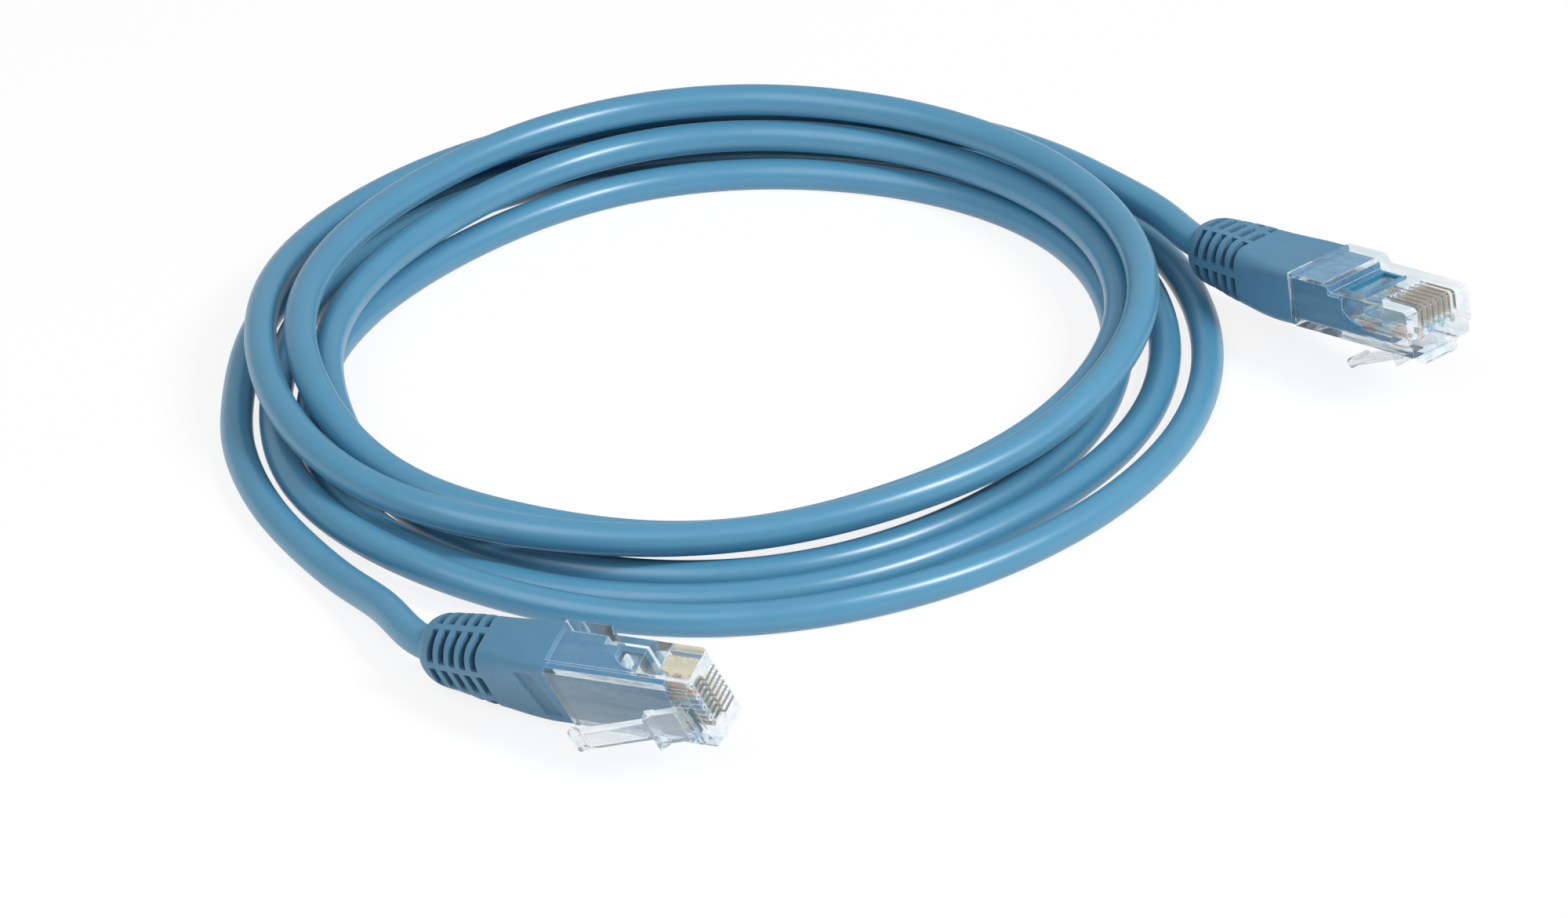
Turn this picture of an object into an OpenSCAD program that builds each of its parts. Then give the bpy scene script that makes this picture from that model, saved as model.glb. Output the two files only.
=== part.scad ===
// Network patch cable: a wound round cord with a moulded eight-contact plug on each end.
// The part stands on its lowest point, with the origin under the middle of its outline.

/* [Cable] */
// Outer diameter of the jacket
cable_d = 4.3; // [4.2:0.1:4.6]
// Wall of the jacket
jacket_wall = 0.5; // [0.4:0.05:0.55]
// Clear gap between strands that lie beside or on each other
strand_gap = 0.45; // [0.42:0.01:0.6]
// Mean radius of the coil
coil_r = 57; // [56:0.5:60]

/* [Plug housing] */
// Width across the plug
plug_w = 11.68; // [11.5:0.02:12]
// Height of the nose
nose_h = 6.6; // [6.4:0.05:7]
// Height of the rear of the housing, behind the step
rear_h = 7.8; // [7.7:0.05:8.4]
// Length of the housing from the nose to the boot
housing_len = 21.4; // [20.5:0.1:24]
// Distance from the nose to the step
step_back = 13.7; // [13.4:0.1:14.2]
// Length of the slope of the step
step_run = 0.9; // [0.4:0.1:1.6]
// Wall of the housing
wall = 1; // [0.8:0.05:1.05]
// Height of the narrow keel on the latch side
keel_h = 1.55; // [1.3:0.05:1.9]
// How far the keel stands in from each side
keel_inset = 0.6; // [0.3:0.05:0.9]
// Length of the window in front of the step
window_len = 4.5; // [4:0.1:5]
// Distance from the nose to the front of the core's tongue
tongue_back = 4; // [3.6:0.1:5]

/* [Contacts and wires] */
// Distance between neighbouring contacts
contact_pitch = 1.02; // [1:0.01:1.05]
// Thickness of a contact
contact_t = 0.35; // [0.25:0.05:0.4]
// Length of a contact along the plug
contact_len = 5; // [4.2:0.1:5.2]
// Distance from the nose to a contact
contact_back = 1.2; // [1:0.1:1.8]
// How far the contacts lie below the top of the nose
contact_sink = 0.6; // [0.4:0.05:1]
// Diameter over the insulation of a wire
wire_d = 0.88; // [0.84:0.01:0.9]
// Diameter of a copper conductor
core_d = 0.5; // [0.4:0.02:0.55]
// Height of the row of wires
wire_z = 2.3; // [2.2:0.05:2.5]
// Distance from the nose to the cut ends of the wires
wire_back = 1.4; // [1.2:0.1:2]
// Length of the bundle of wires that shows between the housing and the end of the jacket
bundle_len = 0.6; // [0.6:0.1:2]

/* [Latch] */
// Width of the latch at its root and shoulder
latch_w = 6; // [5.6:0.1:6.4]
// Width of the finger tab
tab_w = 3.25; // [3:0.05:3.8]
// Distance from the nose to the hinge line
latch_back = 2.5; // [2.3:0.1:3]
// How far the hinge line lies under the housing
latch_drop = 0.85; // [0.8:0.05:1.1]
// Length of the wide part, from the hinge line to the shoulder
latch_wide_len = 3.9; // [3.6:0.1:4.6]
// Length of the finger tab behind the shoulder
tab_len = 9.9; // [9:0.1:11]
// Angle between the latch and the housing when it is free
latch_angle = 19; // [16:0.5:21]
// Thickness of the latch
latch_t = 1; // [0.8:0.05:1.1]
// How far the shoulder stands out of the latch
shoulder_h = 0.75; // [0.5:0.05:1]
// Diameter of the bead along the tip of the finger tab
bead_d = 1.4; // [1.2:0.05:1.6]
// How far the block in front of the latch stands out
root_block_h = 1.9; // [1.6:0.1:2.4]

/* [Boot] */
// Length of the boot behind the housing
boot_len = 21.5; // [20:0.1:24]
// Diameter of the boot where the cable enters
boot_rear_d = 8.4; // [7.8:0.1:9.2]
// Height of the cable's axis over the latch side of the housing
cable_z = 4.9; // [4.6:0.05:5]
// Length of the boot's flare, from the housing to its round neck
flare_len = 8.5; // [7:0.1:9]
// Length of the dome at the rear of the boot
dome_len = 5; // [4.4:0.1:6]
// Number of grooves in each row
groove_count = 5; // [3:1:5]
// Width of a groove
groove_w = 0.85; // [0.5:0.05:1]
// Distance between neighbouring grooves
groove_pitch = 1.85; // [1.7:0.05:2]
// Depth of a groove
groove_depth = 0.9; // [0.4:0.05:1.1]
// Distance from the rear of the boot to the first groove
groove_back = 2.4; // [2:0.1:2.8]
// Width of the webs that part the rows of grooves
web_w = 0.7; // [0.5:0.05:1]

/* [Clearances] */
// Gap between a piece and the pocket that holds it
fit_gap = 0.05; // [0.04:0.01:0.1]
// Gap between the latch and the housing at the hinge line
hinge_gap = 0.12; // [0.1:0.01:0.2]

/* [Hidden] */
CONTACTS = 8;
PLUG_PIECES = concat(
    ["housing", "latch", "boot", "inner_mould", "strain_bar", "jacket_end", "conductors"],
    [for (i = [1:CONTACTS]) str("contact_", i)],
    [for (i = [1:CONTACTS]) str("wire_", i)]);

eps = 0.02;
SMOOTH = 48;
HULL_SMOOTH = 32;
// Thickness of the slices that the boot is drawn over
SLICE = 0.4;

// Middle of the coil, seen from the origin
COIL_MIDDLE = [-16.4, 14.5, 0];

// Each plug: its name, its nose's bearing from the middle of the coil, the distance past the
// coil's mean radius and the height, and how the plug is turned
PLUG_A = ["a", [268.5, 40.2, 9.7], [-65, -9.5, -33.5]];
PLUG_B = ["b", [353.2, 37.5, 10.2], [-0.5, -9, -48.2]];

// A strand on the table is pressed flat by a tenth of its diameter
rest_z = 0.4 * cable_d;
pitch = cable_d + strand_gap;

// Colours of the eight wires, in the order of the contacts
WIRE_COLOURS = ["navajowhite", "darkorange", "honeydew", "royalblue",
    "aliceblue", "seagreen", "linen", "saddlebrown"];

// ---------- Route of the cord ----------

// Each turn of the coil, every eighth of a turn from the left: the place across the coil,
// in strand pitches out from the mean radius, and the layer, in pitches over the table
TURN_ACROSS = [
    [1.3, 1.85, 2.3, 2.6, 1.5, 0.6, 0.8, 1.05],
    [0.25, 0.85, 1.25, 1.55, 0.3, -0.75, -0.25, -0.05],
    [-0.8, -1.1, 0.1, 0.5, -1.05, -1.85, -1.45, -1.3],
    [-1.2, -0.9, 0.65, 0.5, -1, -2.65, -2.7, -1.15],
    [-0.5, -0.2, 1, 0.75, -0.3, -1.7, -1.8, 0],
    [0.6, 1.65, 1.95, 1.9]];
TURN_LAYER = [
    [0, 0, 0, 0, 0, 0, 0, 0.5],
    [0, 0, 0, 0, 0, 0, 0, 0],
    [0, 0, 0, 0, 0, 0, 0, 0],
    [1, 1, 1, 1, 1.2, 0.75, 0.5, 1.1],
    [2, 2, 2, 2, 2, 1.3, 1, 1.4],
    [1.6, 1, 1, 1.4]];
STATIONS_PER_TURN = 8;
RINGS_PER_STATION = 3;
COIL_SIDES = 6;
LEAD_SIDES = 10;
WIRE_SIDES = 6;

// Points of the free stretches: bearing from the middle of the coil, distance past its mean
// radius, and height over a resting strand
LEAD_A_POINTS = [[234.6, 15.2, 1.8], [227.1, 11.7, 0.5], [218.6, 9.6, 0],
    [208.9, 8.4, 0], [199.1, 7.5, 0], [190.9, 6.9, 0]];
LEAD_B_POINTS = [[33.9, 9.3, 6.7], [26, 10.3, 6.5]];

across_list = [for (turn = TURN_ACROSS) for (value = turn) value];
layer_list = [for (turn = TURN_LAYER) for (value = turn) value];
last_station = len(across_list) - 1;

function unit(v) = v / norm(v);
function clamp_index(i) = max(0, min(last_station, i));

// Smooth curve through the list's values (Catmull-Rom)
function smooth_value(list, u) =
    let (i = min(floor(u), last_station - 1),
        t = u - i,
        a = list[clamp_index(i - 1)],
        b = list[i],
        c = list[i + 1],
        d = list[clamp_index(i + 2)])
    b + 0.5 * t * (c - a + t * (2 * a - 5 * b + 4 * c - d + t * (3 * (b - c) + d - a)));

// A climb from one layer to the next that starts and ends level
function climb_value(list, u) =
    let (i = min(floor(u), last_station - 1), t = u - i)
    list[i] + (list[i + 1] - list[i]) * t * t * (3 - 2 * t);

function coil_angle(u) = 180 - u * 360 / STATIONS_PER_TURN;
function coil_point(u) =
    let (angle = coil_angle(u), r = coil_r + pitch * smooth_value(across_list, u))
    [r * cos(angle), r * sin(angle), rest_z + pitch * climb_value(layer_list, u)];
function coil_heading(u) = [sin(coil_angle(u)), -cos(coil_angle(u)), 0];

wound_points = [for (k = [0:last_station * RINGS_PER_STATION]) coil_point(k / RINGS_PER_STATION)];
coil_start = coil_point(0) - cable_d * coil_heading(0);
coil_end = coil_point(last_station) + cable_d * coil_heading(last_station);
coil_points = concat([coil_start], wound_points, [coil_end]);

// Where a point of a plug lies, from the middle of the coil
function turn_x(v, a) = [v[0], v[1] * cos(a) - v[2] * sin(a), v[1] * sin(a) + v[2] * cos(a)];
function turn_y(v, a) = [v[0] * cos(a) + v[2] * sin(a), v[1], v[2] * cos(a) - v[0] * sin(a)];
function turn_z(v, a) = [v[0] * cos(a) - v[1] * sin(a), v[0] * sin(a) + v[1] * cos(a), v[2]];
function turned(v, angles) = turn_z(turn_y(turn_x(v, angles[0]), angles[1]), angles[2]);
function past_coil(p) = [(coil_r + p[1]) * cos(p[0]), (coil_r + p[1]) * sin(p[0]), p[2]];
function on_plug(plug, v) = past_coil(plug[1]) + turned(v, plug[2]);

plug_len = housing_len + boot_len;
jacket_back = housing_len + bundle_len;
function boot_mouth(plug) = on_plug(plug, [-plug_len, 0, cable_z]);
function boot_inside(plug) = on_plug(plug, [-plug_len + cable_d, 0, cable_z]);
function lifted(points) = [for (p = points) past_coil(p) + [0, 0, rest_z]];

lead_a_route = concat([boot_mouth(PLUG_A)], lifted(LEAD_A_POINTS), [coil_start]);
lead_b_route = concat([coil_end], lifted(LEAD_B_POINTS), [boot_mouth(PLUG_B)]);

function path_length(p) =
    let (steps = [for (i = [1:len(p) - 1]) norm(p[i] - p[i - 1])])
    steps * [for (s = steps) 1];

// Least distance between strands a whole turn or nearly so apart, less the diameter
MIN_APART = 16;
fine_points = [for (k = [0:last_station * 6]) coil_point(k / 6)];
least_gap = min([for (i = [0:len(fine_points) - 1 - 2 * MIN_APART])
    for (j = [i + 2 * MIN_APART:len(fine_points) - 1]) norm(fine_points[i] - fine_points[j])]) - cable_d;
echo(least_gap_between_turns = least_gap);
echo(cord_length = path_length(fine_points) + 2 * cable_d
    + path_length(lead_a_route) + path_length(lead_b_route));

// ---------- Tubes ----------

// One ring of points round a path, square to the given heading and no lower than the table
function ring(centre, heading, r, sides) =
    let (across = unit(cross(heading, [0, 0, 1])), up = cross(across, heading))
    [for (k = [0:sides - 1])
        let (a = 360 * k / sides, p = centre + r * (cos(a) * across + sin(a) * up))
        [p[0], p[1], max(p[2], 0)]];

// Headings along a path, with those of its two ends given
function headings(p, first, last) =
    [for (i = [0:len(p) - 1])
        i == 0 ? first : i == len(p) - 1 ? last : unit(p[i + 1] - p[i - 1])];

function side_faces(rings, sides, start, flip) =
    [for (i = [0:rings - 2]) for (k = [0:sides - 1])
        let (a = start + i * sides + k, b = start + i * sides + (k + 1) % sides)
        each (flip ? [[a, a + sides, b], [a + sides, b + sides, b]]
            : [[a, b, a + sides], [a + sides, b, b + sides]])];

// Solid tube along a path
module cord(points, first, last, r, sides) {
    dirs = headings(points, first, last);
    n = len(points);
    rings = [for (i = [0:n - 1]) each ring(points[i], dirs[i], r, sides)];
    caps = [for (k = [1:sides - 2]) each [
        [0, k + 1, k],
        [(n - 1) * sides, (n - 1) * sides + k, (n - 1) * sides + k + 1]]];
    polyhedron(rings, concat(side_faces(n, sides, 0, false), caps));
}

// Hollow tube along a path
module sleeve(points, first, last, r, bore_r, sides) {
    dirs = headings(points, first, last);
    n = len(points);
    outer = [for (i = [0:n - 1]) each free_ring(points[i], dirs[i], r, sides)];
    inner = [for (i = [0:n - 1]) each free_ring(points[i], dirs[i], bore_r, sides)];
    m = n * sides;
    e = (n - 1) * sides;
    rims = [for (k = [0:sides - 1]) let (l = (k + 1) % sides) each [
        [k, m + k, l], [l, m + k, m + l],
        [e + k, e + l, m + e + k], [e + l, m + e + l, m + e + k]]];
    polyhedron(concat(outer, inner),
        concat(side_faces(n, sides, 0, false), side_faces(n, sides, m, true), rims));
}

function free_ring(centre, heading, r, sides) =
    let (across = unit(cross(heading, [0, 0, 1])), up = cross(across, heading))
    [for (k = [0:sides - 1]) let (a = 360 * k / sides) centre + r * (cos(a) * across + sin(a) * up)];

module cable_coil() {
    color("lightsteelblue") translate(COIL_MIDDLE)
        cord(coil_points, coil_heading(0), coil_heading(last_station), cable_d / 2, COIL_SIDES);
}

module cable_lead_a() {
    color("lightsteelblue") translate(COIL_MIDDLE)
        cord(lead_a_route, unit(boot_mouth(PLUG_A) - boot_inside(PLUG_A)), coil_heading(0),
            cable_d / 2, LEAD_SIDES);
}

module cable_lead_b() {
    color("lightsteelblue") translate(COIL_MIDDLE)
        cord(lead_b_route, coil_heading(last_station),
            unit(boot_inside(PLUG_B) - boot_mouth(PLUG_B)), cable_d / 2, LEAD_SIDES);
}

// ---------- Plug, in its own frame: X to the nose, Z to the contacts, latch side at Z = 0 ----------

// Extrudes a side view (x, z) across the plug
module across(width) {
    rotate([90, 0, 0]) linear_extrude(height = width, center = true) children();
}

// A block from its two corners
module block(low, high) {
    translate(low) cube(high - low);
}

// Places along the plug, and inside it
pocket_w = plug_w - 2 * wall;
bed_w = CONTACTS * contact_pitch + 2 * fit_gap;
step_foot = -step_back - step_run;
roof_x = step_foot - 0.4;
window_front_x = -step_back + window_len;
window_w = bed_w - 0.4;
pocket_x = -step_back + 1.1;
tunnel_d = wire_d + 2 * fit_gap;
slot_w = contact_t + 0.15;
contact_x = -contact_back;
contact_top = nose_h - contact_sink;
bed_roof = wire_z + wire_d / 2 + fit_gap;
tongue_top = wire_z - wire_d / 2 - fit_gap;
slot_front_z = contact_top - 2.2;
// Round front of the core's cheeks, behind a disc of clear plastic on each side of the window
cheek_x = window_front_x;
cheek_z = nose_h + 0.3;
cheek_r = window_len - 0.1;
function wire_y(i) = (i - (CONTACTS - 1) / 2) * contact_pitch;

module housing_form() {
    lip = 0.4;
    across(plug_w) polygon([[0, keel_h], [0, nose_h - lip], [-lip, nose_h], [-step_back, nose_h],
        [step_foot, rear_h], [-housing_len, rear_h], [-housing_len, keel_h]]);
    across(plug_w - 2 * keel_inset) polygon([[0, 0], [0, keel_h + eps],
        [-housing_len, keel_h + eps], [-housing_len, 0]]);
    intersection() {
        across(latch_w) polygon(root_block_outline());
        root_block_front();
    }
}

// The block that carries the latch, seen from the side, with a chamfered front and rear
function root_block_outline() =
    let (front = -0.2, rear = -latch_back + latch_t / 2 + hinge_gap, chamfer = 0.4)
    [[front, eps], [front, -root_block_h + chamfer], [front - chamfer, -root_block_h],
        [rear + chamfer, -root_block_h], [rear, -root_block_h + chamfer], [rear, eps]];

// The same block seen from its front, with two round lower corners
module root_block_front() {
    r = 0.9;
    half = latch_w / 2;
    translate([-latch_back, 0, 0]) rotate([90, 0, 90]) linear_extrude(height = latch_back) {
        translate([-half, -root_block_h + r]) square([latch_w, root_block_h - r + eps]);
        translate([-half + r, -root_block_h]) square([latch_w - 2 * r, r + eps]);
        for (y = [-half + r, half - r])
            translate([y, -root_block_h + r]) circle(r = r, $fn = SMOOTH);
    }
}

// The disc in front of each of the core's cheeks
module cheek_disc(r) {
    translate([cheek_x, 0, cheek_z]) rotate([90, 0, 0])
        cylinder(h = plug_w + 2, r = r, center = true, $fn = SMOOTH);
}

module housing() {
    color("whitesmoke", 0.5) difference() {
        housing_form();
        // Pocket for the moulded core, under the step and behind it
        block([-housing_len - 1, -pocket_w / 2, wall], [roof_x, pocket_w / 2, rear_h - wall]);
        block([roof_x - eps, -pocket_w / 2, wall], [pocket_x, pocket_w / 2, nose_h - wall]);
        // Room for the core's cheeks, and for its tongue under the tunnels
        difference() {
            block([pocket_x - eps, -pocket_w / 2, wall], [cheek_x, pocket_w / 2, nose_h - wall]);
            cheek_disc(cheek_r);
        }
        block([cheek_x - eps, -pocket_w / 2, wall], [-tongue_back, pocket_w / 2, wire_z - wire_d / 4]);
        // Bed of the wires, and the window over it
        block([pocket_x - eps, -bed_w / 2, wall], [window_front_x, bed_w / 2, bed_roof]);
        block([-step_back, -window_w / 2, bed_roof - eps], [window_front_x, window_w / 2, nose_h + 1]);
        for (i = [0:CONTACTS - 1]) translate([0, wire_y(i), 0]) {
            translate([window_front_x - eps, 0, wire_z]) rotate([0, 90, 0])
                cylinder(h = -window_front_x + eps - wire_back + fit_gap, d = tunnel_d, $fn = SMOOTH);
            block([contact_x - contact_len - fit_gap, -slot_w / 2, wire_z],
                [contact_x + fit_gap, slot_w / 2, nose_h + 1]);
            block([contact_x, -slot_w / 2, slot_front_z], [1, slot_w / 2, nose_h + 1]);
        }
    }
}

// Blade with a rounded front top corner and two prongs that bite the wire
module contact(i) {
    corner = 0.7;
    prong = 0.5;
    foot = bed_roof + 0.7;
    rear = contact_x - contact_len;
    prongs = [contact_x - 1.3, rear + 1.9];
    round_corner = [for (a = [90:-15:0])
        [contact_x - corner + corner * cos(a), contact_top - corner + corner * sin(a)]];
    color("goldenrod") translate([0, wire_y(i), 0]) across(contact_t) polygon(concat(
        [[rear, foot + 0.3], [rear, contact_top]],
        round_corner,
        [[contact_x, foot]],
        [for (x = prongs) each [[x + prong, foot], [x, bed_roof], [x - prong, foot]]]));
}

// Where wire i lies in the jacket: one in the middle and seven round it, by sevenths of a turn
BUNDLE_ORDER = [2, 1, 3, 0, 4, -1, 5, 6];
bundle_r = 1.32 * wire_d;
bundle_d = 2 * bundle_r + wire_d;
function bundle_place(i) =
    let (turn = 90 + BUNDLE_ORDER[i] * 360 / 7)
    BUNDLE_ORDER[i] < 0 ? [0, 0] : bundle_r * [cos(turn), sin(turn)];

// Every second wire climbs out of the row before all of them draw together
bay_x = -housing_len + 1.2;
bar = 0.8;
climb_start = -step_back - 0.1;
climb_x = climb_start - 1.4;
climb_z = wire_z + 1.7 * wire_d;
function wire_route(i) =
    let (b = bundle_place(i), y = wire_y(i), odd = i % 2 == 1)
    [[-wire_back, y, wire_z], [climb_start, y, wire_z], [climb_x, y, odd ? climb_z : wire_z],
        [bay_x, b[0], cable_z + b[1]], [-jacket_back - 2, b[0], cable_z + b[1]]];

module wire(i) {
    color(WIRE_COLOURS[i])
        sleeve(wire_route(i), [-1, 0, 0], [-1, 0, 0], wire_d / 2, core_d / 2 + fit_gap, WIRE_SIDES);
}

module conductors() {
    color("peru") for (i = [0:CONTACTS - 1]) bare_core(wire_route(i), core_d / 2);
}

module bare_core(points, r) {
    dirs = headings(points, [-1, 0, 0], [-1, 0, 0]);
    n = len(points);
    rings = [for (i = [0:n - 1]) each free_ring(points[i], dirs[i], r, WIRE_SIDES)];
    caps = [for (k = [1:WIRE_SIDES - 2]) each [
        [0, k + 1, k],
        [(n - 1) * WIRE_SIDES, (n - 1) * WIRE_SIDES + k, (n - 1) * WIRE_SIDES + k + 1]]];
    polyhedron(rings, concat(side_faces(n, WIRE_SIDES, 0, false), caps));
}

// End of the jacket, from the mouth of the boot to where the wires leave it
module jacket_end() {
    long = plug_len - jacket_back;
    color("lightsteelblue") translate([-plug_len, 0, cable_z]) rotate([0, 90, 0]) difference() {
        cylinder(h = long, d = cable_d, $fn = SMOOTH);
        translate([0, 0, -1]) cylinder(h = long + 2, d = cable_d - 2 * jacket_wall, $fn = SMOOTH);
    }
}

// Moulded core that locks the wires into the housing
rail = 0.5;
bar_top = nose_h - 0.35;
module inner_mould() {
    w = pocket_w - 2 * fit_gap;
    low = wall + fit_gap;
    bay_w = bed_w + 0.3;
    bay_gap = wire_d;
    overrun = 0.3;
    color("steelblue") difference() {
        union() {
            block([-housing_len, -w / 2, low], [roof_x - fit_gap, w / 2, rear_h - wall - fit_gap]);
            block([roof_x - 1, -w / 2, low], [pocket_x - fit_gap, w / 2, nose_h - wall - fit_gap]);
            // Cheeks with a round front
            difference() {
                block([pocket_x - 1, -w / 2, low], [cheek_x - fit_gap, w / 2, nose_h - wall - fit_gap]);
                block([pocket_x - fit_gap, -bay_w / 2, low + eps], [0, bay_w / 2, nose_h]);
                cheek_disc(cheek_r + fit_gap);
            }
            // Tongue under the wires
            block([pocket_x - 1, -w / 2, low], [-tongue_back - fit_gap, w / 2, tongue_top]);
            // Two bars and their rails in the window
            block([-step_back + fit_gap, -window_w / 2 + fit_gap, bed_roof + fit_gap],
                [-step_back + fit_gap + bar, window_w / 2 - fit_gap, bar_top]);
            block([window_front_x - fit_gap - bar, -window_w / 2 + fit_gap, bar_top - bar],
                [window_front_x - fit_gap, window_w / 2 - fit_gap, bar_top]);
            for (side = [-1, 1]) scale([1, side, 1])
                block([-step_back + fit_gap, window_w / 2 - fit_gap - rail, bar_top - bar],
                    [window_front_x - fit_gap, window_w / 2 - fit_gap, bar_top]);
        }
        // Bay in which the wires fan out, rising to the hole of the bundle
        across(bay_w) polygon([[pocket_x + eps, tongue_top], [climb_x, tongue_top],
            [bay_x, cable_z - bundle_d / 2 - fit_gap], [bay_x, cable_z + bundle_d / 2 + fit_gap],
            [climb_x, climb_z + bay_gap], [climb_start, bed_roof + fit_gap], [pocket_x + eps, bed_roof + fit_gap]]);
        translate([-housing_len - 1, 0, cable_z]) rotate([0, 90, 0])
            cylinder(h = bay_x + housing_len + 1 + overrun, d = bundle_d + 3 * fit_gap, $fn = SMOOTH);
    }
}

// Bar that holds the row of wires down in the window
module strain_bar() {
    front = window_front_x - fit_gap - bar - 0.35;
    rear = front - 2;
    toe = 0.9;
    w = window_w - 2 * rail - 6 * fit_gap;
    color("whitesmoke", 0.6) across(w) polygon([[rear, bed_roof + 0.8], [rear, nose_h - 0.7],
        [front, nose_h - 0.7], [front, bed_roof], [front - toe, bed_roof]]);
}

// Latch, drawn level and then turned about its hinge line
module latch() {
    half = latch_t / 2;
    inner = half - 0.15;
    web = latch_w - 0.4;
    shoulder = -latch_wide_len;
    ramp = 1.3;
    tip = shoulder - tab_len;
    panel_rim = 0.5;
    panel_sink = 0.3;
    color("whitesmoke", 0.6) translate([-latch_back, 0, -latch_drop]) rotate([0, -latch_angle, 0])
        difference() {
            union() {
                rotate([90, 0, 0]) cylinder(h = web, r = half, center = true, $fn = SMOOTH);
                block([shoulder, -web / 2, -half], [0, web / 2, inner]);
                // Shoulder that catches in the socket, with a ramp in front of it
                across(latch_w) polygon([[shoulder, inner], [shoulder, -half - shoulder_h],
                    [shoulder + ramp, -half], [shoulder + ramp, inner]]);
                // Finger tab with a bead along its tip
                block([tip, -tab_w / 2, -half], [shoulder + eps, tab_w / 2, inner]);
                translate([tip, 0, 0]) rotate([90, 0, 0])
                    cylinder(h = tab_w, d = bead_d, center = true, $fn = SMOOTH);
            }
            // Panel sunk into the tab
            block([tip + bead_d, -tab_w / 2 + panel_rim, -half - 1],
                [shoulder - 2 * panel_rim, tab_w / 2 - panel_rim, -half + panel_sink]);
        }
}

// Boot: the housing's section at its front, drawn in to a round dome at the cable
module boot() {
    front = -housing_len - fit_gap;
    rear = -plug_len;
    color("cadetblue") difference() {
        union() {
            hull() {
                boot_section(front - SLICE, plug_w, 0.1, rear_h - 0.05, 1.2);
                boot_neck();
            }
            hull() {
                boot_neck();
                boot_section(rear + dome_len, boot_rear_d + 1.2, cable_z - boot_rear_d / 2 - 0.35,
                    cable_z + boot_rear_d / 2 - 0.2, 3);
                boot_disc(rear + dome_len / 2, boot_rear_d - 0.3);
                boot_disc(rear + SLICE / 2, boot_rear_d - 2.8);
            }
        }
        translate([rear - 1, 0, cable_z]) rotate([0, 90, 0])
            cylinder(h = boot_len + 2, d = cable_d + 2 * fit_gap, $fn = SMOOTH);
        boot_grooves(rear);
    }
}

// Where the flare meets the round part
module boot_neck() {
    boot_section(-housing_len - flare_len, plug_w - 0.7, 0.15, rear_h + 0.3, 2);
}

// A thin round slice of the boot's dome
module boot_disc(x, d) {
    translate([x, 0, cable_z]) rotate([0, 90, 0])
        cylinder(h = SLICE, d = d, center = true, $fn = HULL_SMOOTH);
}

// A thin rounded slice of the boot, between two heights
module boot_section(x, w, low, high, r) {
    translate([x, 0, 0]) rotate([90, 0, 90]) linear_extrude(height = SLICE, center = true)
        for (y = [-w / 2 + r, w / 2 - r]) for (z = [low + r, high - r])
            translate([y, z]) circle(r = r, $fn = HULL_SMOOTH);
}

// Rings of grooves that let the boot bend, parted into six rows by webs along the boot
WEB_ANGLES = [0, 64, 116, 180, 244, 296];
module boot_grooves(rear) {
    first_d = boot_rear_d - 2 * groove_depth;
    rise = 0.2;
    for (k = [0:groove_count - 1])
        translate([rear + groove_back + k * groove_pitch, 0, cable_z]) rotate([0, 90, 0]) difference() {
            cylinder(h = groove_w, d = boot_rear_d + plug_w, $fn = SMOOTH);
            translate([0, 0, -1]) cylinder(h = groove_w + 2, d = first_d + rise * k, $fn = SMOOTH);
            for (angle = WEB_ANGLES) rotate([0, 0, 90 + angle])
                block([0, -web_w / 2, -1], [boot_rear_d, web_w / 2, groove_w + 1]);
        }
}

// ---------- Assembly ----------

module at_plug(plug) {
    translate(COIL_MIDDLE) translate(past_coil(plug[1])) rotate(plug[2]) children();
}

module plug(plug) {
    prefix = str("plug_", plug[0], "_");
    at_plug(plug) {
        housing();
        latch();
        boot();
        inner_mould();
        strain_bar();
        jacket_end();
        conductors();
        for (i = [0:CONTACTS - 1]) {
            contact(i);
            wire(i);
        }
    }
}

cable_lead_a();
cable_coil();
cable_lead_b();
plug(PLUG_A);
plug(PLUG_B);
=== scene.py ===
"""Looks of a network patch cable: a wound blue cord with a clear moulded plug on each end.

Sizes are written in millimetres in the fields of each class and become metres through MM.
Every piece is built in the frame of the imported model, so it needs no fitting.
"""

import logging
from dataclasses import dataclass, replace
from enum import Enum

import bmesh
import bpy
import numpy as np
from mathutils import Matrix


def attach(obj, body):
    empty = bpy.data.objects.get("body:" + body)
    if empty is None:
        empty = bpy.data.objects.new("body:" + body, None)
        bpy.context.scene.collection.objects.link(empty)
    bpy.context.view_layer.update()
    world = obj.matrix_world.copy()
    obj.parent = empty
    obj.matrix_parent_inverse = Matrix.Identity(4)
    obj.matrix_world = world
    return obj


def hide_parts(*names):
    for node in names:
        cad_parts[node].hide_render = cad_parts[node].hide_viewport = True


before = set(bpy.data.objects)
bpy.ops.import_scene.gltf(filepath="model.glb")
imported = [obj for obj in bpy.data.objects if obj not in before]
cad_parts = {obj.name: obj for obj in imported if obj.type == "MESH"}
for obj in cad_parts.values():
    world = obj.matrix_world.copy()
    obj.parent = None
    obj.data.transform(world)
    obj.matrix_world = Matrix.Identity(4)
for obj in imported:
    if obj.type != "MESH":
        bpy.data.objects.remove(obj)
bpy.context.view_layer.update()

MM = 0.001
LOG = logging.getLogger("patch_cable")
Array = np.ndarray
Socket = bpy.types.NodeSocket

# Points of a construction node nearer than this are made one
WELD = 0.002 * MM
# Bend up to which two faces are one flat area, and bend from which an edge is sharp
FLAT_BEND = np.radians(1.0)
SHARP_BEND = np.radians(50.0)
# Points on the fine line of a spline, for each point given
SPLINE_POINTS = 12
# Width of the bell that evens out a line, as a share of its reach
BELL_WIDTH = 0.45
# Between these values lies most of a noise
NOISE_MIDDLE = (0.3, 0.7)
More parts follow.
